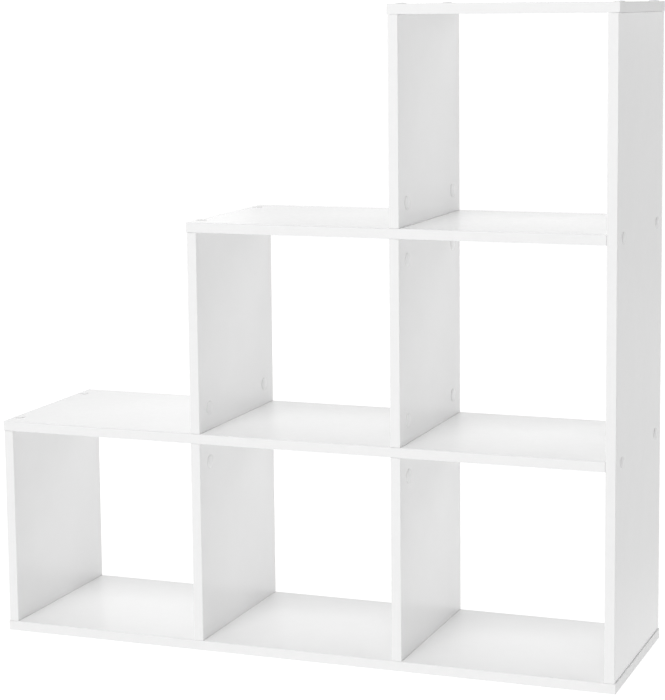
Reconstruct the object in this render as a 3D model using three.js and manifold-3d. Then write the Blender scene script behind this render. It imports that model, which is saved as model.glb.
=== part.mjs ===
// Staircase bookshelf: six open cells in three steps, built from drilled and edge-banded boards.
// Millimetres, +Z up, +X towards the tall end, -Y the front.
// The origin is the middle of the footprint, on the floor.

import * as THREE from 'three';
import { mergeVertices } from 'three/addons/utils/BufferGeometryUtils.js';
import Module from 'manifold-3d';

const wasm = await Module();
wasm.setup();

// Shelf
const columnCount = 3;
const cellWidth = 304;
const cellHeight = 305;
const boardThickness = 15;
const boardDepth = 290;
const bandThickness = 1;
const endOverhang = 1.5;   // free end of a lying board past the face of the upright at it
const seatGap = 0.2;       // hairline where one board butts against another

// Fastener layout
const fastenerInset = 37;  // front or back edge to the axis of a screw or bolt
const camDistance = 34;    // face of a shelf to the axis of the cam locks above and below it
const holeClearance = 0.3; // all round a fastener in its hole
const cutOverrun = 1;      // how far a cut starts outside the face that it opens

// Confirmat screw: sunk head with a hexagon socket, plain shank, then the threaded core
const screwLength = 50;
const headDiameter = 10;
const headHeight = 3;
const headCone = 1.8;
const headSink = 0.4;
const shankDiameter = 6.6;
const shankShort = 1;      // shank ends this far inside the board that it passes through
const coreDiameter = 4.6;
const coreStep = 0.6;
const tipLength = 2.5;
const socketAcrossFlats = 4;
const socketDepth = 2.6;

// Cover caps: a low disc with a sloping rim, on a peg that plugs into the fastener under it
const capHeight = 1.3;
const capRim = 0.5;
const capSlope = 1.6;
const screwCapLap = 2.7;   // disc past the sunk head's hole
const camCapLap = 2.2;     // disc past the cam's pocket
const screwPegDiameter = 3.6;
const camPegDiameter = 9;

// Cam lock and the ball-ended bolt that it draws in
const camDiameter = 15;
const camSink = 0.3;
const pocketFloor = 2.4;   // board left under the cam's pocket
const ballDiameter = 6.4;
const ballOffset = 1;      // ball's centre short of the cam's axis when the lock is tight
const neckDiameter = 3.8;
const neckClearance = 0.4;
const camTravel = 1.2;     // how far the spiral draws the bolt in
const boltDiameter = 6.8;
const boltStep = 0.6;      // length of the bolt's tapers, and the sleeve's gap to the cam's wall
const collarWidth = 4;
const collarDiameter = 7.2;

// Angles of the cam, from the bolt round to the window that the ball enters by
const slotStart = THREE.MathUtils.degToRad(-32);
const entryAngle = THREE.MathUtils.degToRad(125);

// Sides of the round forms
const discSides = 16;
const camSides = 14;
const screwSides = 8;
const boltSides = 8;
const holeSides = 8;
const slotSides = 3;
const spiralSteps = 10;
const ballSteps = 3;
const hexagonSides = 6;

// Places worked out from the sizes above
const columnPitch = cellWidth + boardThickness;
const rowPitch = cellHeight + boardThickness;
const overallWidth = columnCount * columnPitch + boardThickness + 2 * endOverhang;
const uprightX = (line) => -overallWidth / 2 + endOverhang + line * columnPitch;
const boardZ = (level) => level * rowPitch;
const sides = [
  { side: 'front', y: fastenerInset - boardDepth / 2 },
  { side: 'back', y: boardDepth / 2 - fastenerInset },
];

// Lying boards: level counts up from the floor, firstLine is the upright under or over the left end.
// The bottom and top boards run past the right side panel, the shelves stop at its inner face.
const lyingBoards = [
  { name: 'bottom_board', level: 0, firstLine: 0, passesRightPanel: true },
  { name: 'lower_shelf', level: 1, firstLine: 0, passesRightPanel: false },
  { name: 'upper_shelf', level: 2, firstLine: 1, passesRightPanel: false },
  { name: 'top_board', level: 3, firstLine: 2, passesRightPanel: true },
];

// Upright boards: line counts from the left, and each stands between two levels.
const uprightBoards = [
  { name: 'left_side_panel', line: 0, from: 0, to: 1 },
  { name: 'lower_left_divider', line: 1, from: 0, to: 1 },
  { name: 'lower_right_divider', line: 2, from: 0, to: 1 },
  { name: 'middle_side_panel', line: 1, from: 1, to: 2 },
  { name: 'middle_divider', line: 2, from: 1, to: 2 },
  { name: 'upper_side_panel', line: 2, from: 2, to: 3 },
  { name: 'right_side_panel', line: columnCount, from: 0, to: columnCount },
];
const rightPanel = uprightBoards[uprightBoards.length - 1];

// Finishes
const melamine = { color: 0xf1f1f0, roughness: 0.42, metalness: 0 };
const edgeBand = { color: 0xf4f4f2, roughness: 0.5, metalness: 0 };
const capPlastic = { color: 0xeeeeec, roughness: 0.38, metalness: 0 };
const zincSteel = { color: 0xb9bcc0, roughness: 0.35, metalness: 0.9 };

// Closed solid of a geometry: shared points merged, empty triangles dropped, faces turned outwards
function toSolid(geometry) {
  const plain = geometry.clone();
  plain.deleteAttribute('normal');
  plain.deleteAttribute('uv');
  const merged = mergeVertices(plain);
  const points = merged.attributes.position;
  const index = merged.index.array;
  const corners = [];
  const [a, b, c] = [new THREE.Vector3(), new THREE.Vector3(), new THREE.Vector3()];
  let volume = 0;
  for (let i = 0; i < index.length; i += 3) {
    const [p, q, r] = [index[i], index[i + 1], index[i + 2]];
    if (p !== q && q !== r && r !== p) {
      corners.push([p, q, r]);
      a.fromBufferAttribute(points, p);
      b.fromBufferAttribute(points, q);
      c.fromBufferAttribute(points, r);
      volume += a.dot(b.cross(c));
    }
  }
  const turned = corners.map(([p, q, r]) => (volume > 0 ? [p, q, r] : [p, r, q]));
  return new wasm.Manifold(new wasm.Mesh({
    numProp: 3,
    vertProperties: new Float32Array(points.array),
    triVerts: new Uint32Array(turned.flat()),
  }));
}

function toGeometry(solid) {
  const mesh = solid.getMesh();
  const geometry = new THREE.BufferGeometry();
  geometry.setAttribute('position', new THREE.BufferAttribute(mesh.vertProperties, mesh.numProp));
  geometry.setIndex(new THREE.BufferAttribute(mesh.triVerts, 1));
  geometry.computeVertexNormals();
  return geometry;
}

function cut(geometry, cutters) {
  let solid = toSolid(geometry);
  for (const cutter of cutters) {
    solid = solid.subtract(toSolid(cutter));
  }
  return toGeometry(solid);
}

function join(geometry, other) {
  return toGeometry(toSolid(geometry).add(toSolid(other)));
}

// Turned form on the Z axis, from [radius, height] pairs
function turnedOnZ(profile, sideCount) {
  const points = profile.map(([radius, height]) => new THREE.Vector2(radius, height));
  return new THREE.LatheGeometry(points, sideCount).rotateX(Math.PI / 2);
}

// Plate of an outline, thickness centred on a height
function plateAt(outline, thickness, middle) {
  const plate = new THREE.ExtrudeGeometry(outline, {
    depth: thickness,
    bevelEnabled: false,
    curveSegments: slotSides,
  });
  return plate.translate(0, 0, middle - thickness / 2);
}

// Radius of a many-sided hole whose flats keep the clearance to a round of this diameter
function holeRadius(diameter, sideCount = holeSides) {
  return (diameter / 2 + holeClearance) / Math.cos(Math.PI / sideCount);
}

// Boards
function rectangle(width, height) {
  const outline = new THREE.Shape();
  outline.moveTo(-width / 2, -height / 2);
  outline.lineTo(width / 2, -height / 2);
  outline.lineTo(width / 2, height / 2);
  outline.lineTo(-width / 2, height / 2);
  outline.closePath();
  return outline;
}

// A board's core and the band glued round its four edges; an upright's length runs along Z
function boardBlanks(length, upright) {
  const coreLength = length - 2 * bandThickness;
  const coreDepth = boardDepth - 2 * bandThickness;
  const core = new THREE.BoxGeometry(coreLength, coreDepth, boardThickness);
  const loop = rectangle(length, boardDepth);
  loop.holes.push(rectangle(coreLength, coreDepth));
  const band = plateAt(loop, boardThickness, 0);
  return upright ? [core.rotateY(Math.PI / 2), band.rotateY(Math.PI / 2)] : [core, band];
}

function boardSpans() {
  const spans = new Map();
  for (const { name, level, firstLine, passesRightPanel } of lyingBoards) {
    const panelX = uprightX(columnCount);
    const left = uprightX(firstLine) - endOverhang;
    const right = passesRightPanel ? panelX + boardThickness + endOverhang : panelX - seatGap;
    const centre = new THREE.Vector3((left + right) / 2, 0, boardZ(level) + boardThickness / 2);
    spans.set(name, { length: right - left, upright: false, centre, cutters: [] });
  }
  for (const { name, line, from, to } of uprightBoards) {
    const foot = boardZ(from) + boardThickness + seatGap;
    const head = boardZ(to) - seatGap;
    const centre = new THREE.Vector3(uprightX(line) + boardThickness / 2, 0, (foot + head) / 2);
    spans.set(name, { length: head - foot, upright: true, centre, cutters: [] });
  }
  return spans;
}

// Cover disc with its face on the board at zero height and its peg running inwards
function coverDisc(radius, pegDiameter, pegEnd) {
  return turnedOnZ([
    [0, -capHeight],
    [radius - capSlope, -capHeight],
    [radius, -capRim],
    [radius, 0],
    [pegDiameter / 2, 0],
    [0, pegEnd],
  ], discSides);
}

// Confirmat screw, driven inwards along +Z from the face of the outer board
function confirmatScrew() {
  const headFoot = headSink + headHeight;
  const shankEnd = boardThickness - shankShort;
  return turnedOnZ([
    [0, headSink],
    [headDiameter / 2, headSink],
    [headDiameter / 2, headFoot],
    [shankDiameter / 2, headFoot + headCone],
    [shankDiameter / 2, shankEnd - coreStep],
    [coreDiameter / 2, shankEnd],
    [coreDiameter / 2, screwLength - tipLength],
    [0, screwLength],
  ], screwSides);
}

function openScrew() {
  const cornerRadius = socketAcrossFlats / 2 / Math.cos(Math.PI / hexagonSides);
  const depth = socketDepth + cutOverrun;
  const socket = new THREE.CylinderGeometry(cornerRadius, cornerRadius, depth, hexagonSides);
  socket.rotateX(Math.PI / 2).translate(0, 0, headSink + socketDepth - depth / 2);
  return cut(confirmatScrew(), [socket]);
}

function cappedScrew() {
  const radius = headDiameter / 2 + holeClearance + screwCapLap;
  return join(confirmatScrew(), coverDisc(radius, screwPegDiameter, headSink + capRim));
}

// Stepped hole: sunk for the head, clear of the shank, then a pilot in the second board
function screwHole() {
  const headEnd = headSink + headHeight + holeClearance;
  const change = boardThickness + seatGap / 2;
  const pilotEnd = screwLength + holeClearance;
  return turnedOnZ([
    [0, -cutOverrun],
    [holeRadius(headDiameter), -cutOverrun],
    [holeRadius(headDiameter), headEnd],
    [holeRadius(shankDiameter), headEnd + headCone],
    [holeRadius(shankDiameter), change],
    [holeRadius(coreDiameter), change],
    [holeRadius(coreDiameter), pilotEnd],
    [0, pilotEnd],
  ], holeSides);
}

// Double-ended bolt on Z, the same both ways from the middle of the shelf that it passes through
const boltReach = boardThickness / 2 + camDistance;

function doubleBolt() {
  const ballRadius = ballDiameter / 2;
  const neckRadius = neckDiameter / 2;
  const ballMiddle = boltReach - ballOffset;
  const sleeveEnd = boltReach - camDiameter / 2 - boltStep;
  const neckSide = Math.asin(neckRadius / ballRadius);
  const half = [
    [collarDiameter / 2, collarWidth / 2],
    [boltDiameter / 2, collarWidth / 2 + boltStep],
    [boltDiameter / 2, sleeveEnd - boltStep],
    [neckRadius, sleeveEnd],
  ];
  for (let step = 0; step < ballSteps; step += 1) {
    const angle = THREE.MathUtils.lerp(neckSide, Math.PI, step / ballSteps);
    half.push([ballRadius * Math.sin(angle), ballMiddle - ballRadius * Math.cos(angle)]);
  }
  half.push([0, ballMiddle + ballRadius]);
  const mirrored = half.map(([radius, height]) => [radius, -height]).reverse();
  return turnedOnZ([...mirrored, ...half], boltSides);
}

function boltHole() {
  const radius = holeRadius(collarDiameter);
  const hole = new THREE.CylinderGeometry(radius, radius, 2 * boltReach, holeSides);
  return hole.rotateX(Math.PI / 2);
}

// Cam lock, pushed inwards along +Z from the upright's face, with the bolt coming from its +X side.
// The ball lies in a spiral chamber, and the neck leaves through a slot too narrow for the ball.
const pocketDepth = boardThickness - pocketFloor;
const camEnd = pocketDepth - holeClearance;

function spiralOutline() {
  const tight = ballOffset + ballDiameter / 2 + holeClearance;
  const outline = new THREE.Shape();
  for (let step = 0; step < spiralSteps; step += 1) {
    const angle = slotStart + (step / spiralSteps) * 2 * Math.PI;
    const share = Math.min((angle - slotStart) / (entryAngle - slotStart), 1);
    const radius = tight + share * camTravel;
    const point = [radius * Math.cos(angle), radius * Math.sin(angle)];
    if (step === 0) {
      outline.moveTo(...point);
    } else {
      outline.lineTo(...point);
    }
  }
  outline.closePath();
  return outline;
}

function cappedCamLock() {
  const camRadius = camDiameter / 2;
  const middle = boardThickness / 2;
  const reach = camRadius + cutOverrun;
  const body = turnedOnZ([[0, camSink], [camRadius, camSink], [camRadius, camEnd], [0, camEnd]], camSides);
  const chamber = plateAt(spiralOutline(), ballDiameter + 2 * holeClearance, middle);
  const sector = new THREE.Shape();
  sector.moveTo(0, 0);
  sector.lineTo(reach * Math.cos(slotStart), reach * Math.sin(slotStart));
  sector.absarc(0, 0, reach, slotStart, entryAngle, false);
  sector.closePath();
  const slot = plateAt(sector, neckDiameter + 2 * neckClearance, middle);
  const windowRadius = holeRadius(ballDiameter, hexagonSides);
  const window = new THREE.CylinderGeometry(windowRadius, windowRadius, reach, hexagonSides);
  window.translate(0, reach / 2, 0).rotateZ(entryAngle - Math.PI / 2).translate(0, 0, middle);
  const cam = cut(body, [chamber, slot, window]);
  return join(cam, coverDisc(camRadius + holeClearance + camCapLap, camPegDiameter, camSink + capRim));
}

function camPocket() {
  const radius = holeRadius(camDiameter, camSides);
  const depth = pocketDepth + cutOverrun;
  const pocket = new THREE.CylinderGeometry(radius, radius, depth, camSides);
  return pocket.rotateX(Math.PI / 2).translate(0, 0, pocketDepth - depth / 2);
}

// Assembly: every fastener is placed once, and its hole is cut into the boards that it joins
const shelf = new THREE.Group();
const spans = boardSpans();
const up = new THREE.Vector3(0, 0, 1);
const down = new THREE.Vector3(0, 0, -1);
const towardsLeft = new THREE.Vector3(-1, 0, 0);
const shapes = {
  openScrew: openScrew(),
  cappedScrew: cappedScrew(),
  doubleBolt: doubleBolt(),
  cappedCamLock: cappedCamLock(),
};

function addMesh(name, geometry, finish, parent) {
  const mesh = new THREE.Mesh(geometry, new THREE.MeshStandardMaterial({ ...finish, flatShading: true }));
  mesh.name = name;
  parent.add(mesh);
  return mesh;
}

function placeFastener(name, shape, finish, place, turn, hole, boards) {
  const mesh = addMesh(name, shapes[shape].clone(), finish, shelf);
  mesh.position.copy(place);
  mesh.quaternion.copy(turn);
  mesh.updateMatrix();
  for (const board of boards) {
    spans.get(board).cutters.push(hole.clone().applyMatrix4(mesh.matrix));
  }
}

function placeScrew(name, capped, place, direction, boards) {
  const turn = new THREE.Quaternion().setFromUnitVectors(up, direction);
  const shape = capped ? 'cappedScrew' : 'openScrew';
  placeFastener(name, shape, capped ? capPlastic : zincSteel, place, turn, screwHole(), boards);
}

function placeCam(name, place, towardsBolt, board) {
  const across = new THREE.Vector3().crossVectors(towardsLeft, towardsBolt);
  const basis = new THREE.Matrix4().makeBasis(towardsBolt, across, towardsLeft);
  const turn = new THREE.Quaternion().setFromRotationMatrix(basis);
  placeFastener(name, 'cappedCamLock', capPlastic, place, turn, camPocket(), [board]);
}

// Foot and head of each upright, front and back
for (const upright of uprightBoards) {
  const middleX = uprightX(upright.line) + boardThickness / 2;
  const rightFace = uprightX(upright.line) + boardThickness;
  const over = lyingBoards[upright.to];
  const above = uprightBoards.find(({ line, from }) => line === upright.line && from === upright.to);
  for (const { side, y } of sides) {
    if (upright.from === 0) {
      const name = `screw_bottom_board_to_${upright.name}_${side}`;
      placeScrew(name, false, new THREE.Vector3(middleX, y, 0), up, ['bottom_board', upright.name]);
    }
    if (above) {
      const boltName = `double_bolt_${upright.name}_to_${above.name}_${side}`;
      const boltMiddle = new THREE.Vector3(middleX, y, boardZ(over.level) + boardThickness / 2);
      const joined = [upright.name, over.name, above.name];
      const unturned = new THREE.Quaternion();
      placeFastener(boltName, 'doubleBolt', zincSteel, boltMiddle, unturned, boltHole(), joined);
      const lowerPlace = new THREE.Vector3(rightFace, y, boltMiddle.z - boltReach);
      const upperPlace = new THREE.Vector3(rightFace, y, boltMiddle.z + boltReach);
      placeCam(`capped_cam_lock_${upright.name}_top_${side}`, lowerPlace, up, upright.name);
      placeCam(`capped_cam_lock_${above.name}_bottom_${side}`, upperPlace, down, above.name);
    } else {
      const name = `capped_screw_${over.name}_to_${upright.name}_${side}`;
      const place = new THREE.Vector3(middleX, y, boardZ(over.level) + boardThickness);
      placeScrew(name, true, place, down, [over.name, upright.name]);
    }
  }
}

// Right end of each shelf, through the right side panel
for (const { name, level } of lyingBoards.filter((board) => !board.passesRightPanel)) {
  for (const { side, y } of sides) {
    const outerFace = uprightX(columnCount) + boardThickness;
    const place = new THREE.Vector3(outerFace, y, boardZ(level) + boardThickness / 2);
    const screwName = `capped_screw_${rightPanel.name}_to_${name}_${side}`;
    placeScrew(screwName, true, place, towardsLeft, [rightPanel.name, name]);
  }
}

// Boards, each with its band, cut by the holes collected above
for (const [name, { length, upright, centre, cutters }] of spans) {
  const board = new THREE.Group();
  board.position.copy(centre);
  const holes = cutters.map((cutter) => cutter.translate(-centre.x, -centre.y, -centre.z));
  const [core, band] = boardBlanks(length, upright);
  addMesh(name, cut(core, holes), melamine, board);
  addMesh(`${name}_edge_band`, cut(band, holes), edgeBand, board);
  shelf.add(board);
}

export default shelf;
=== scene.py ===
# Staircase bookshelf, dressed round its solids: rounded edge bands on white melamine boards,
# confirmat screws, ball-ended bolts, cam locks and their cover caps. Metres, +Z up, front towards -Y.
import math

import bpy
import numpy as np
from mathutils import Matrix, Vector


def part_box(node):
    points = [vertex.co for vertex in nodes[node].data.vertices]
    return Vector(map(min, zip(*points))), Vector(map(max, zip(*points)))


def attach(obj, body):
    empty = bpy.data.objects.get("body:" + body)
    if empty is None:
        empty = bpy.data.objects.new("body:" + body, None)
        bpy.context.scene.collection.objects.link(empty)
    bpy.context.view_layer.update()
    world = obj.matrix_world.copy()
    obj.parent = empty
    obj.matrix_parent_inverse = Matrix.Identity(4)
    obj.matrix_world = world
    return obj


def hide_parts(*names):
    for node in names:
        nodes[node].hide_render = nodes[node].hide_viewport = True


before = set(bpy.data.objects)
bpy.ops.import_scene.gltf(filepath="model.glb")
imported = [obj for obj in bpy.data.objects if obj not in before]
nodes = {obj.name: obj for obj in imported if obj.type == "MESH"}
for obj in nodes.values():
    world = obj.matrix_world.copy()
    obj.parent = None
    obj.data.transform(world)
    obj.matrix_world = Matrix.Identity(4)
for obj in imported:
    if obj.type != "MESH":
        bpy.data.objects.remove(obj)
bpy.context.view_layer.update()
mm = 0.001
letters = "XYZ"
bandSuffix = "_edge_band"
boardNames = sorted(name[:-len(bandSuffix)] for name in nodes if name.endswith(bandSuffix))
print("frame loaded:", len(nodes), "nodes,", len(boardNames), "boards")


def boxOf(node):
    low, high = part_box(node)
    return np.array(low), np.array(high)


# Whether a node is taller than it is wide from left to right
def isTall(node):
    low, high = boxOf(node)
    return high[2] - low[2] > high[0] - low[0]


# Most of a noise's values lie between these two
noiseLow, noiseHigh = 0.3, 0.7


# Shader maths: a wire is one output of a material's nodes, and sums on it add Math nodes
class Wire:
    def __init__(self, graph, socket):
        self.graph = graph
        self.socket = socket

    def maths(self, operation, *values):
        sockets = dict(enumerate((self,) + values))
        return self.graph.node("ShaderNodeMath", {"operation": operation}, sockets)

    def __add__(self, other):
        return self.maths("ADD", other)

    __radd__ = __add__

    def __mul__(self, other):
        return self.maths("MULTIPLY", other)

    __rmul__ = __mul__

    def __sub__(self, other):
        return self.maths("SUBTRACT", other)

    def __rsub__(self, other):
        return self * -1.0 + other

    def __pow__(self, other):
        return self.maths("POWER", other)

    # Smooth step: 0 up to the low value, 1 from the high one
    def between(self, low, high):
        sockets = {"Value": self, "From Min": low, "From Max": high}
        return self.graph.node("ShaderNodeMapRange", {"interpolation_type": "SMOOTHSTEP"}, sockets)


class Graph:
    def __init__(self, tree):
        self.tree = tree
        tree.nodes.clear()

    # A node by its type, with its settings put in first, then the values or wires of its sockets
    def node(self, kind, settings=None, sockets=None, output=0):
        made = self.tree.nodes.new(kind)
        for key, value in (settings or {}).items():
            if key == "stops":
                ramp = made.color_ramp.elements
                while len(ramp) < len(value):
                    ramp.new(1.0)
                for stop, (place, colour) in zip(ramp, value):
                    stop.position = place
                    stop.color = colour
            else:
                setattr(made, key, value)
        for key, value in (sockets or {}).items():
            if isinstance(value, Wire):
                self.tree.links.new(value.socket, made.inputs[key])
            else:
                made.inputs[key].default_value = value
        return Wire(self, made.outputs[output]) if made.outputs else None

    # Object coordinates, which are metres in the frame, since every piece sits at the origin
    def place(self):
        return self.node("ShaderNodeTexCoord", output="Object")

    def axis(self, place, letter):
        return self.node("ShaderNodeSeparateXYZ", None, {0: place}, letters.index(letter))

    def noise(self, place, size, detail=2.0, roughness=0.5):
        sockets = {"Vector": place, "Scale": 1.0 / size, "Detail": detail, "Roughness": roughness}
        return self.node("ShaderNodeTexNoise", None, sockets)

    def mixed(self, share, first, second):
        return self.node("ShaderNodeMix", {"data_type": "RGBA"}, {0: share, 6: first, 7: second}, 2)

    # Two colours in clouds, as a noise says
    def clouded(self, noise, first, second):
        return self.mixed(noise.between(noiseLow, noiseHigh), first, second)

    # Bumps laid one on another: pairs of a height wire from 0 to 1 and its real height in metres
    def bumps(self, *layers):
        normal = None
        for height, depth in layers:
            sockets = {"Height": height, "Distance": depth, "Strength": 1.0}
            if normal is not None:
                sockets["Normal"] = normal
            normal = self.node("ShaderNodeBump", None, sockets)
        return normal


# A material from a function that takes its graph and gives the sockets of its shader
def finishMaterial(name, build):
    material = bpy.data.materials.new(name)
    material.use_nodes = True
    graph = Graph(material.node_tree)
    surface = graph.node("ShaderNodeBsdfPrincipled", None, build(graph))
    graph.node("ShaderNodeOutputMaterial", None, {"Surface": surface})
    return material


def grey(level):
    return (level, level, level, 1.0)


# Roughness: gloss + change (noise - 1/2)
def roughnessFrom(noise, plan):
    return noise * plan["glossChange"] + (plan["gloss"] - plan["glossChange"] / 2)


# Boards: white melamine on chipboard, a satin skin with a fine pearl, and chips where a hole is drilled
melamine = {
    "white": 0.915, "mottle": 0.012, "mottleSize": 60 * mm,
    "pearlSize": 1.4 * mm, "pearlHeight": 0.006 * mm, "waveSize": 9 * mm, "waveHeight": 0.004 * mm,
    "gloss": 0.21, "glossChange": 0.04, "refraction": 1.5,
    "skin": 0.2 * mm, "skinFade": 0.1 * mm,  # depth where chips start, and over which the skin ends
    "chipSize": 2.6 * mm, "chipRoughness": 0.4,
    "chipColours": (
        (0.0, (0.42, 0.29, 0.17, 1.0)),
        (0.5, (0.58, 0.43, 0.27, 1.0)),
        (1.0, (0.70, 0.56, 0.38, 1.0)),
    ),
}


# Boards of one kind in a row along an axis: the axis, the first board's lower face, and the pitch
def boardRow(letter, firstBoard, nextBoard):
    axis = letters.index(letter)
    firstFace = float(boxOf(firstBoard)[0][axis])
    nextFace = float(boxOf(nextBoard)[0][axis])
    return {"letter": letter, "firstFace": firstFace, "pitch": nextFace - firstFace}


boardRows = {
    "upright": boardRow("X", "left_side_panel", "lower_left_divider"),
    "lying": boardRow("Z", "bottom_board", "lower_shelf"),
}
bottomLow, bottomHigh = boxOf("bottom_board")
boardThickness = float(bottomHigh[2] - bottomLow[2])


def melamineMaterial(kind):
    row = boardRows[kind]
    m = melamine

    def build(graph):
        place = graph.place()
        along = graph.axis(place, row["letter"]) - (row["firstFace"] - row["pitch"] / 2)
        # Depth under the nearer face of a board: half its thickness less the distance to its middle
        middle = along.maths("FLOORED_MODULO", row["pitch"]) - (row["pitch"] / 2 + boardThickness / 2)
        depth = boardThickness / 2 - middle.maths("ABSOLUTE")
        drilled = depth.between(m["skin"], m["skin"] + m["skinFade"])
        cloud = graph.noise(place, m["mottleSize"], detail=3.0)
        pearl = graph.noise(place, m["pearlSize"], roughness=0.6)
        wave = graph.noise(place, m["waveSize"], detail=1.0)
        skinColour = graph.clouded(cloud, grey(m["white"] * (1 - m["mottle"])), grey(m["white"]))
        chipSockets = {"Vector": place, "Scale": 1 / m["chipSize"]}
        chips = graph.node("ShaderNodeTexVoronoi", None, chipSockets, "Color")
        chipColour = graph.node("ShaderNodeValToRGB", {"stops": m["chipColours"]}, {"Fac": chips})
        return {
            "Base Color": graph.mixed(drilled, skinColour, chipColour),
            "Roughness": roughnessFrom(wave, m) + drilled * m["chipRoughness"],
            "IOR": m["refraction"],
            "Normal": graph.bumps((pearl, m["pearlHeight"]), (wave, m["waveHeight"])),
        }

    return finishMaterial("white_melamine_" + kind, build)


# Boards keep their drilled solids, and take the melamine of the way they stand
melamineMaterials = {kind: melamineMaterial(kind) for kind in boardRows}
for name in boardNames:
    board = nodes[name]
    board.data.materials.clear()
    board.data.materials.append(melamineMaterials["upright" if isTall(name) else "lying"])
print("boards finished:", len(boardNames))


# Shell of rings: rows of points along an axis, columns round it, and a pole point at each end.
# A shell is its points, its quads and its triangles
def ringShell(grid, poles):
    rows, columns, _ = grid.shape
    row, column = np.meshgrid(np.arange(rows - 1), np.arange(columns), indexing="ij")
    here = row * columns + column
    after = row * columns + (column + 1) % columns
    quads = np.stack([here, after, after + columns, here + columns], axis=-1).reshape(-1, 4)
    ring = np.arange(columns)
    following = (ring + 1) % columns
    pole = np.full(columns, rows * columns)
    last = (rows - 1) * columns
    startFan = np.stack([pole, following, ring], axis=1)
    endFan = np.stack([pole + 1, last + ring, last + following], axis=1)
    return np.vstack([grid.reshape(-1, 3), poles]), quads, np.vstack([startFan, endFan])


# Shell of a closed section carried round a loop: rows follow the section, columns the loop, and both close
def closedShell(grid):
    rows, columns, _ = grid.shape
    row, column = np.meshgrid(np.arange(rows), np.arange(columns), indexing="ij")
    here = row * columns
    below = (row + 1) % rows * columns
    after = (column + 1) % columns
    quads = np.stack([here + column, here + after, below + after, below + column], axis=-1)
    return grid.reshape(-1, 3), quads.reshape(-1, 4), np.zeros((0, 3), int)


# Rings round an axis: point = origin + radius (cos a across + sin a upwards) + depth inwards
def placedRings(radius, depth, angle, place, poleDepths):
    origin, across, upwards, inwards = place
    spoke = np.cos(angle)[None, :, None] * across + np.sin(angle)[None, :, None] * upwards
    grid = origin + radius[..., None] * spoke + depth[..., None] * inwards
    return ringShell(grid, [origin + poleDepth * inwards for poleDepth in poleDepths])


def anglesRound(columns):
    return np.linspace(0, 2 * math.pi, columns, endpoint=False)


# Turned form: each (radius, depth) of its profile becomes a round ring
def turnedShell(profile, poleDepths, columns, place):
    rings = np.array(profile)
    radius = np.repeat(rings[:, :1], columns, axis=1)
    return placedRings(radius, rings[:, 1:], anglesRound(columns), place, poleDepths)


# Part of an ellipse: centre + (radiusX cos a, radiusY sin a), from one angle to another in degrees
def arcPoints(centre, radiusX, radiusY, start, end, steps):
    angle = np.radians(np.linspace(start, end, steps + 1))
    points = [centre[0] + radiusX * np.cos(angle), centre[1] + radiusY * np.sin(angle)]
    return np.stack(points, axis=1).tolist()


# Place of a fastener: where its axis crosses the outer face, then its directions: across, upwards, inwards.
# A helper of -1 turns it half round
def fastenerPlace(node, letter, sign, face, helper=1.0):
    low, high = boxOf(node)
    axis = letters.index(letter)
    origin = (low + high) / 2
    origin[axis] = face
    inwards = np.zeros(3)
    inwards[axis] = sign
    across = np.cross([0.0, helper, 0.0], inwards)
    return origin, across, np.cross(inwards, across), inwards


sharpAngle = math.radians(38)  # faces that meet at more than this keep a sharp edge


# Six times the volume in a shell: the sum of a . (b x c) over its triangles, below 0 where it is inside out
def signedVolume(points, quads, triangles):
    corners = np.vstack([quads[:, [0, 1, 2]], quads[:, [0, 2, 3]], triangles])
    first, second, third = (points[corners[:, k]] for k in range(3))
    return np.einsum("ij,ij->", first, np.cross(second, third))


# One object of several shells, each with its material; a shell that is inside out is turned round
def makePiece(name, shells, replaced):
    points, faces, indices, used = [], [], [], []
    offset = 0
    for (shellPoints, quads, triangles), material in shells:
        if material not in used:
            used.append(material)
        order = 1 if signedVolume(shellPoints, quads, triangles) > 0 else -1
        faces += (offset + quads[:, ::order]).tolist() + (offset + triangles[:, ::order]).tolist()
        indices += [used.index(material)] * (len(quads) + len(triangles))
        points.append(shellPoints)
        offset += len(shellPoints)
    mesh = bpy.data.meshes.new(name)
    mesh.from_pydata(np.vstack(points).tolist(), [], faces)
    for material in used:
        mesh.materials.append(material)
    mesh.polygons.foreach_set("material_index", indices)
    mesh.polygons.foreach_set("use_smooth", [True] * len(faces))
    mesh.set_sharp_from_angle(angle=sharpAngle)
    mesh.update()
    piece = bpy.data.objects.new(name, mesh)
    bpy.context.scene.collection.objects.link(piece)
    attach(piece, "root")
    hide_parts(replaced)


# Edge bands: pressed plastic, a touch greyer and rougher than the boards
edgeBand = {
    "white": 0.90, "tint": 0.01, "grainSize": 0.7 * mm, "grainHeight": 0.008 * mm,
    "rippleSize": 14 * mm, "rippleHeight": 0.006 * mm, "gloss": 0.42, "glossChange": 0.08,
    "thickness": 1 * mm, "glueGap": 0.02 * mm, "cornerRadius": 0.7 * mm, "innerCornerRadius": 0.02 * mm,
    "rounding": 0.7 * mm, "endRounding": 0.3 * mm,  # along the board's front and back, and at its ends
    "arcSteps": 5, "hold": 0.08 * mm,  # steps of an arc, and how far past it a point holds the flat
}


def edgeBandMaterial():
    e = edgeBand

    def build(graph):
        place = graph.place()
        grain = graph.noise(place, e["grainSize"], detail=3.0, roughness=0.6)
        ripple = graph.noise(place, e["rippleSize"], detail=1.0)
        return {
            "Base Color": graph.clouded(ripple, grey(e["white"] * (1 - e["tint"])), grey(e["white"])),
            "Roughness": roughnessFrom(grain, e),
            "Normal": graph.bumps((grain, e["grainHeight"]), (ripple, e["rippleHeight"])),
        }

    return finishMaterial("white_edge_band", build)


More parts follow.
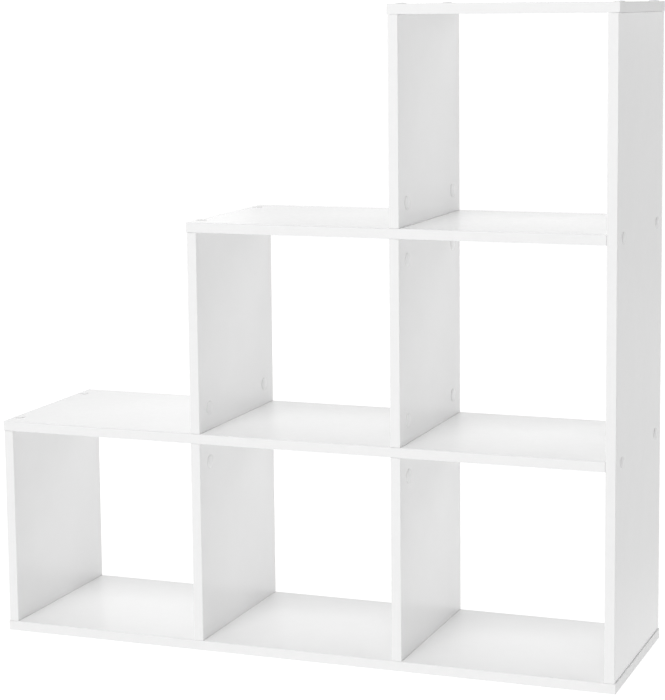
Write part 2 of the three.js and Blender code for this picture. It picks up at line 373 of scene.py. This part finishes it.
# Rectangle with rounded corners: corner centre + radius (cos a, sin a), with a held point each side of an
# arc, and how much each point faces along the rectangle's width: sin^2 a
def roundedLoop(halfLength, halfWidth, radius):
    e = edgeBand
    quarter = np.linspace(0, math.pi / 2, e["arcSteps"] + 1)
    parts, facing = [], []
    for turn, (signX, signY) in enumerate(((1, 1), (-1, 1), (-1, -1), (1, -1))):
        angle = quarter + turn * math.pi / 2
        centre = np.array([signX * (halfLength - radius), signY * (halfWidth - radius)])
        arc = centre + radius * np.stack([np.cos(angle), np.sin(angle)], axis=1)
        tangent = np.stack([-np.sin(angle), np.cos(angle)], axis=1)
        parts += [arc[:1] - e["hold"] * tangent[:1], arc, arc[-1:] + e["hold"] * tangent[-1:]]
        facing += [np.sin(angle[:1]) ** 2, np.sin(angle) ** 2, np.sin(angle[-1:]) ** 2]
    return np.vstack(parts), np.concatenate(facing)


# Section of a band as (depth in from its face, height over the board's lower face): a rectangle whose two
# outer corners are rounded, at depth = radius (1 - sin a) and height = radius (1 - cos a) from the corner
def bandSection(thickness, radius):
    e = edgeBand
    hold = e["hold"]
    quarter = np.linspace(0, math.pi / 2, e["arcSteps"] + 1)
    depth, height = radius - radius * np.sin(quarter), radius - radius * np.cos(quarter)
    lower = np.stack([depth, height], axis=1)
    upper = np.stack([depth[::-1], thickness - height[::-1]], axis=1)
    inner = e["thickness"] - e["glueGap"]
    start = [[inner, 0], [radius + hold, 0]]
    sides = [[0, radius + hold], [0, thickness - radius - hold]]
    end = [[radius + hold, thickness], [inner, thickness]]
    return np.vstack([start, lower, sides, upper, end])


# Band: point = outer loop + (inner loop - outer loop) depth / thickness, at the section's height. The
# section is the one of the board's ends, blended into the one of its front and back by the loop's facing
def bandShell(node):
    e = edgeBand
    low, high = boxOf(node)
    size = high - low
    upright = isTall(node)
    length, thickness = (size[2], size[0]) if upright else (size[0], size[2])
    width = e["thickness"] - e["glueGap"]
    outer, facing = roundedLoop(length / 2, size[1] / 2, e["cornerRadius"])
    inner, _ = roundedLoop(length / 2 - width, size[1] / 2 - width, e["innerCornerRadius"])
    endSection = bandSection(thickness, e["endRounding"])[:, None]
    faceSection = bandSection(thickness, e["rounding"])[:, None]
    section = endSection + (faceSection - endSection) * facing[None, :, None]
    loops = outer[None] + (inner - outer)[None] * section[..., :1] / width
    grid = np.concatenate([loops, section[..., 1:] - thickness / 2], axis=2)
    if upright:
        grid = grid[..., [2, 1, 0]]
    return closedShell(grid + (low + high) / 2)


bandPlastic = edgeBandMaterial()
for name in boardNames:
    makePiece(name + "_rounded_band", [(bandShell(name + bandSuffix), bandPlastic)], name + bandSuffix)
print("edge bands made:", len(boardNames))


# Cover caps: injection-moulded plastic with a fine spark texture
coverCap = {
    "white": 0.91, "tint": 0.015, "sparkSize": 0.35 * mm, "sparkHeight": 0.01 * mm, "flowSize": 4 * mm,
    "gloss": 0.36, "glossChange": 0.1,
    "screwCapRadius": 8.0 * mm, "camCapRadius": 10.0 * mm, "height": 1.3 * mm, "columns": 56,
    "rim": 0.22 * mm, "underLip": 0.15 * mm,
    "shoulder": 3.2 * mm, "shoulderStart": -75, "shoulderSteps": 6,  # its width, and its arc in degrees
    "crown": 0.12 * mm, "crownShares": (0.25, 0.5, 0.75, 1.0),
    "gateRadius": 0.6 * mm, "gateDepth": 0.12 * mm,
    "gateInner": 0.5, "gateOuter": 1.25,  # shares of the gate's radius
    "screwPeg": 1.7 * mm, "camPeg": 4.3 * mm, "pegLength": 2.0 * mm, "pegSide": 1.6 * mm,
    "pegFoot": 0.7, "pegInner": 0.2,  # shares of the peg's radius
}


def coverCapMaterial():
    c = coverCap

    def build(graph):
        place = graph.place()
        spark = graph.noise(place, c["sparkSize"], roughness=0.7)
        flow = graph.noise(place, c["flowSize"])
        return {
            "Base Color": graph.mixed(flow, grey(c["white"] * (1 - c["tint"])), grey(c["white"])),
            "Roughness": roughnessFrom(spark, c),
            "Normal": graph.bumps((spark, c["sparkHeight"])),
        }

    return finishMaterial("white_cap_plastic", build)


# Cover cap: a crowned disc, depth = crown share^2 - height, with a sunk gate mark in its middle, a shoulder
# that is an elliptic arc, an underside and a peg
def capShell(radius, peg, place):
    c = coverCap
    flatRadius = radius - c["shoulder"]
    gateFloor = c["gateDepth"] - c["height"]
    gate = [
        (c["gateRadius"] * c["gateInner"], gateFloor),
        (c["gateRadius"], gateFloor),
        (c["gateRadius"] * c["gateOuter"], -c["height"]),
    ]
    crown = [(flatRadius * share, c["crown"] * share ** 2 - c["height"]) for share in c["crownShares"]]
    shoulderHeight = c["height"] - c["crown"] - c["rim"]
    centre = (flatRadius, -c["rim"])
    start, steps = c["shoulderStart"], c["shoulderSteps"]
    shoulder = arcPoints(centre, c["shoulder"], shoulderHeight, start, 0, steps)
    side = [(radius, -c["underLip"]), (radius - c["underLip"], 0), (peg, 0)]
    foot = [
        (peg, c["pegSide"]),
        (peg * c["pegFoot"], c["pegLength"]),
        (peg * c["pegInner"], c["pegLength"]),
    ]
    profile = gate + crown + shoulder + side + foot
    return turnedShell(profile, (gateFloor, c["pegLength"]), c["columns"], place)


# Fasteners: bright zinc plate, grey metal with a faint blue and straw bloom
zinc = {
    "dark": (0.50, 0.52, 0.56, 1.0), "light": (0.68, 0.68, 0.66, 1.0), "bloomSize": 5 * mm,
    "scratchSize": 0.25 * mm, "scratchHeight": 0.004 * mm,
    "metallic": 0.95, "gloss": 0.3, "glossChange": 0.16,
}


def zincMaterial():
    z = zinc

    def build(graph):
        place = graph.place()
        bloom = graph.noise(place, z["bloomSize"], detail=3.0, roughness=0.6)
        scratch = graph.noise(place, z["scratchSize"])
        return {
            "Base Color": graph.clouded(bloom, z["dark"], z["light"]),
            "Metallic": z["metallic"],
            "Roughness": roughnessFrom(bloom, z),
            "Normal": graph.bumps((scratch, z["scratchHeight"])),
        }

    return finishMaterial("zinc_plate", build)


capPlastic = coverCapMaterial()
zincPlate = zincMaterial()
print("cap and fastener materials made")


# Confirmat screw: sunk head with a hexagon socket, plain shank, then a coarse thread
confirmat = {
    "length": 50 * mm, "columns": 24,
    "headRadius": 5.0 * mm, "headHeight": 3.0 * mm, "headCone": 1.8 * mm, "headSink": 0.4 * mm,
    "headEdge": 0.35 * mm, "coneEase": 0.1 * mm,
    "shankRadius": 3.3 * mm, "shankEnd": 14.0 * mm, "step": 0.6 * mm,
    "socketApothem": 2.0 * mm, "socketDepth": 2.6 * mm, "bevelDepth": 0.25 * mm, "bevelWidth": 0.35 * mm,
    "socketCone": 0.7 * mm, "coneInner": 0.3,  # depth of the floor's cone, and the share where a ring lies
    "coreRadius": 2.3 * mm, "crestRadius": 3.1 * mm, "pitch": 3.0 * mm, "rowsPerTurn": 8,
    "ridgeHalf": 0.32,  # half the width of the thread's ridge, as a share of the pitch
    "threadGap": 0.4 * mm, "tipGap": 0.2 * mm, "tip": 2.5 * mm, "tipCore": 0.35,
}


# Screw: a turned head and shank, whose socket follows a hexagon, radius = apothem / cos a with a taken from
# the middle of the flat, then the thread: core + (crest - core) ridge, where the ridge is a triangle of
# depth / pitch - a / 2 pi, faded at both ends
def screwShell(place):
    s = confirmat
    sink = s["headSink"]
    floor = sink + s["socketDepth"]
    cone = sink + s["headHeight"]
    socket = [
        (s["coneInner"] * s["socketApothem"], floor + (1 - s["coneInner"]) * s["socketCone"]),
        (s["socketApothem"], floor),
        (s["socketApothem"], sink + s["bevelDepth"]),
        (s["socketApothem"] + s["bevelWidth"], sink),
    ]
    head = [
        (s["headRadius"] - s["headEdge"], sink),
        (s["headRadius"], sink + s["headEdge"]),
        (s["headRadius"], cone),
        (s["shankRadius"] + s["coneEase"], cone + s["headCone"] - s["coneEase"]),
        (s["shankRadius"], cone + s["headCone"]),
        (s["shankRadius"], s["shankEnd"] - s["step"]),
        (s["coreRadius"], s["shankEnd"]),
    ]
    angle = anglesRound(s["columns"])
    sixth = math.pi / 3
    rings = np.array(socket + head)
    headRadius = np.repeat(rings[:, :1], s["columns"], axis=1)
    # The second and third rings are the socket's floor and mouth
    headRadius[1:3] = s["socketApothem"] / np.cos((angle % sixth) - sixth / 2)
    start, end = s["shankEnd"] + s["threadGap"], s["length"] - s["tipGap"]
    count = int((end - start) / s["pitch"] * s["rowsPerTurn"])
    depth = np.linspace(start, end, count)[:, None]
    phase = (depth / s["pitch"] - angle[None] / (2 * math.pi)) % 1.0
    ridge = np.clip(1 - np.abs(phase - 0.5) / s["ridgeHalf"], 0, 1)
    towardsTip = np.clip((end - depth) / s["tip"], 0, 1)
    fade = np.clip((depth - start) / s["pitch"], 0, 1) * towardsTip
    core = s["coreRadius"] * (s["tipCore"] + (1 - s["tipCore"]) * towardsTip)
    threadRadius = core + (s["crestRadius"] - s["coreRadius"]) * ridge * fade
    radius = np.vstack([headRadius, threadRadius])
    depths = np.vstack([rings[:, 1:], depth])
    return placedRings(radius, depths, angle, place, (floor + s["socketCone"], s["length"]))


screws = [node for node in sorted(nodes) if node.startswith(("screw_", "capped_screw_"))]
for node in screws:
    if node.startswith("screw_"):
        place = fastenerPlace(node, "Z", 1, bottomLow[2])
        shells = [(screwShell(place), zincPlate)]
    else:
        letter = "Z" if isTall(node) else "X"
        face = boxOf(node)[1][letters.index(letter)] - coverCap["height"]
        place = fastenerPlace(node, letter, -1, face)
        cap = capShell(coverCap["screwCapRadius"], coverCap["screwPeg"], place)
        shells = [(screwShell(place), zincPlate), (cap, capPlastic)]
    makePiece(node + "_threaded", shells, node)
print("screws made:", len(screws))


# Double-ended bolt: collar, sleeve, neck and ball, the same both ways from its middle
doubleBolt = {
    "reach": 41.5 * mm, "ballRadius": 3.2 * mm, "ballOffset": 1.0 * mm, "neckRadius": 1.9 * mm,
    "sleeveRadius": 3.4 * mm, "sleeveEnd": 33.4 * mm, "taper": 0.6 * mm,
    "collarRadius": 3.6 * mm, "collarHalf": 2.0 * mm, "groove": 0.15 * mm, "grooveHalf": 0.4 * mm,
    "ballEnd": 84, "ballSteps": 12, "columns": 32,  # the angle of the ball's last ring, in degrees
}


# Bolt: a turned profile and its mirror; the ball is a circle's arc that starts where the neck meets it
def boltShell(place):
    b = doubleBolt
    ballRadius = b["ballRadius"]
    ballMiddle = b["reach"] - b["ballOffset"]
    ballStart = math.degrees(math.asin(b["neckRadius"] / ballRadius)) - 90
    ball = arcPoints((0, ballMiddle), ballRadius, ballRadius, ballStart, b["ballEnd"], b["ballSteps"])
    oneSide = [
        (b["collarRadius"] - b["groove"], b["grooveHalf"]),
        (b["collarRadius"], b["grooveHalf"] + b["groove"]),
        (b["collarRadius"], b["collarHalf"]),
        (b["sleeveRadius"], b["collarHalf"] + b["taper"]),
        (b["sleeveRadius"], b["sleeveEnd"] - b["taper"]),
        (b["neckRadius"], b["sleeveEnd"]),
    ] + ball
    otherSide = [(radius, -depth) for radius, depth in reversed(oneSide)]
    end = ballMiddle + ballRadius
    return turnedShell(otherSide + oneSide, (-end, end), b["columns"], place)


bolts = [node for node in sorted(nodes) if node.startswith("double_bolt_")]
for node in bolts:
    low, high = boxOf(node)
    place = fastenerPlace(node, "Z", 1, (low[2] + high[2]) / 2)
    makePiece(node + "_turned", [(boltShell(place), zincPlate)], node)
print("double-ended bolts made:", len(bolts))


# Cam lock: a drum whose side is cut back to a spiral where the bolt's neck and ball go in
camLock = {
    "radius": 7.5 * mm, "sink": 0.3 * mm, "end": 12.3 * mm, "edge": 0.3 * mm, "middle": 7.5 * mm,
    "slotHalf": 2.3 * mm, "slotStart": -32.0, "entryAngle": 125.0,  # half its width, and its ends in degrees
    "tight": 4.5 * mm, "travel": 1.2 * mm, "windowRadius": 3.5 * mm, "rows": 30, "columns": 96,
    "edgeShare": 0.01,  # rows this share inside and outside the slot's edges keep them crisp
    "faceRing": 0.3,  # share of the face's radius where an inner ring lies
}


# Side of the drum: radius = full, or in the slot the spiral tight + travel (a - start) / (entry - start)
def camShell(place):
    k = camLock
    angle = np.linspace(-180, 180, k["columns"], endpoint=False)
    evenRows = np.linspace(k["sink"] + k["edge"], k["end"] - k["edge"], k["rows"])
    slotRows = k["slotHalf"] * np.array([1 - k["edgeShare"], 1 + k["edgeShare"]])
    depth = np.sort(np.concatenate([evenRows, k["middle"] - slotRows, k["middle"] + slotRows]))[:, None]
    share = np.clip((angle - k["slotStart"]) / (k["entryAngle"] - k["slotStart"]), 0, 1)
    spiral = k["tight"] + k["travel"] * share
    inTurn = (angle >= k["slotStart"]) & (angle <= k["entryAngle"])
    inSlot = inTurn & (np.abs(depth - k["middle"]) < k["slotHalf"])
    sideways = np.radians(angle - k["entryAngle"]) * k["radius"]
    inWindow = np.hypot(sideways, depth - k["middle"]) < k["windowRadius"]
    side = np.where(inSlot | inWindow, spiral[None], k["radius"])
    outerRing = np.full((1, k["columns"]), k["radius"] - k["edge"])
    innerRing = outerRing * k["faceRing"]
    radius = np.vstack([innerRing, outerRing, side, outerRing, innerRing])
    depths = np.vstack([np.full((2, 1), k["sink"]), depth, np.full((2, 1), k["end"])])
    return placedRings(radius, depths, np.radians(angle), place, (k["sink"], k["end"]))


cams = [node for node in sorted(nodes) if node.startswith("capped_cam_lock_")]
for node in cams:
    face = boxOf(node)[1][0] - coverCap["height"]
    towardsBolt = 1.0 if "_top_" in node else -1.0
    place = fastenerPlace(node, "X", -1, face, towardsBolt)
    cap = capShell(coverCap["camCapRadius"], coverCap["camPeg"], place)
    makePiece(node + "_drum", [(camShell(place), zincPlate), (cap, capPlastic)], node)
print("cam locks made:", len(cams))


# Floor: wide, pale and glowing, less so beyond the picture's right edge, which lies along x + slant y
floorPlan = {
    "halfWidth": 400.0, "shade": 0.15, "cloudSize": 0.3, "cloudChange": 0.01, "roughness": 0.9,
    "glow": 0.955, "fade": 0.165, "fadeSlant": 0.214, "fadeFrom": 0.52, "fadeTo": 0.83,
}


def floorMaterial():
    p = floorPlan

    def build(graph):
        place = graph.place()
        cloud = graph.noise(place, p["cloudSize"])
        colour = graph.mixed(cloud, grey(p["shade"]), grey(p["shade"] * (1 + p["cloudChange"])))
        beyond = graph.axis(place, "X") + graph.axis(place, "Y") * p["fadeSlant"]
        faded = beyond.between(p["fadeFrom"], p["fadeTo"])
        return {
            "Base Color": colour,
            "Roughness": p["roughness"],
            "Specular IOR Level": 0.0,
            "Emission Color": graph.mixed(faded, grey(1.0), grey(1 - p["fade"])),
            "Emission Strength": p["glow"],
        }

    return finishMaterial("plain_floor", build)


half = floorPlan["halfWidth"]
floorCorners = [(-half, -half, 0), (half, -half, 0), (half, half, 0), (-half, half, 0)]
floorMesh = bpy.data.meshes.new("floor")
floorMesh.from_pydata(floorCorners, [], [(0, 1, 2, 3)])
floorMesh.materials.append(floorMaterial())
floor = bpy.data.objects.new("floor", floorMesh)
bpy.context.scene.collection.objects.link(floor)
print("floor made")


# Sky: brighter at the left, with a glow at the back that lies over the horizon in bands. A band has the
# height where it starts to fade, the height where it ends, and its strength
skyPlan = {
    "left": 0.627, "right": 0.12, "turnFrom": 0.1, "turnTo": 0.7, "backPower": 4.0,
    "bands": ((0.03, 0.06, 0.33), (0.18, 0.26, 0.32)),
}


# Strength: left + (right - left) t + (1/2 + y/2)^power h, for a direction (x, y, z), where t turns from 0
# to 1 along x, and h is the sum of the bands, each whole from the horizon up to its fade
def makeSky():
    s = skyPlan
    world = bpy.data.worlds.new("studio")
    bpy.context.scene.world = world
    world.use_nodes = True
    graph = Graph(world.node_tree)
    direction = graph.node("ShaderNodeTexCoord", output="Generated")
    sideways, backwards, upwards = (graph.axis(direction, letter) for letter in letters)
    plain = sideways.between(s["turnFrom"], s["turnTo"]) * (s["right"] - s["left"]) + s["left"]
    haze = sum((1.0 - upwards.between(low, high)) * strength for low, high, strength in s["bands"])
    whole = plain + (backwards * 0.5 + 0.5) ** s["backPower"] * haze
    shine = graph.node("ShaderNodeBackground", None, {"Color": grey(1.0), "Strength": whole})
    graph.node("ShaderNodeOutputWorld", None, {"Surface": shine})


makeSky()

# Softboxes: name, place, side, power, and whether the boards' gloss mirrors it. All point at one place
softboxes = (
    ("front_softbox", (0.0, -5.2, 5.95), 3.6, 190.0, True),
    ("back_softbox", (-0.4, 3.0, 2.2), 2.0, 18.4, False),
    ("left_back_softbox", (-2.2, 3.0, 2.0), 1.6, 6.3, True),
    ("right_back_softbox", (2.2, 3.2, 2.6), 2.6, 36.0, False),
)
softboxAim = Vector((0.0, 0.0, 0.45))

for name, place, side, power, mirrored in softboxes:
    light = bpy.data.lights.new(name, "AREA")
    light.shape = "SQUARE"
    light.size = side
    light.energy = power
    box = bpy.data.objects.new(name, light)
    box.visible_glossy = mirrored
    box.location = place
    box.rotation_mode = "QUATERNION"
    box.rotation_quaternion = (softboxAim - Vector(place)).to_track_quat("-Z", "Y")
    bpy.context.scene.collection.objects.link(box)
print("sky and softboxes made")


# Camera as fitted to the photograph's edges: turned left, dipped and rolled, with a small vertical shift.
# Angles are in radians; the focal length, the perspective's centre and the frame's height are in pixels
lens = {
    "place": (1.16175, -3.01317, 0.97787), "turn": 0.36529, "dip": -0.12597, "roll": 0.01018,
    "focalPixels": 2130.44, "centreY": 272.0, "frameHeight": 700, "sensor": 36.0,
    "nearest": 0.05, "farthest": 1000.0,
}


# Three axes turned by an angle in the plane of two of them
def turnedAxes(first, second, angle):
    axes = np.eye(3)
    axes[first, first] = axes[second, second] = math.cos(angle)
    axes[first, second] = math.sin(angle)
    axes[second, first] = -math.sin(angle)
    return axes


rolled = turnedAxes(2, 0, lens["roll"])
right, forward, upward = rolled @ turnedAxes(1, 2, lens["dip"]) @ turnedAxes(0, 1, lens["turn"])
cameraPose = np.eye(4)
cameraPose[:3] = np.stack([right, upward, -forward, lens["place"]], axis=1)
cameraData = bpy.data.cameras.new("photo_camera")
cameraData.sensor_width = lens["sensor"]
cameraData.lens = lens["focalPixels"] * lens["sensor"] / lens["frameHeight"]
cameraData.shift_y = (lens["centreY"] - lens["frameHeight"] / 2) / lens["frameHeight"]
cameraData.clip_start = lens["nearest"]
cameraData.clip_end = lens["farthest"]
camera = bpy.data.objects.new("photo_camera", cameraData)
camera.matrix_world = Matrix(cameraPose.tolist())
bpy.context.scene.collection.objects.link(camera)
bpy.context.scene.camera = camera
bpy.context.scene.view_settings.view_transform = "Standard"
print("camera made")
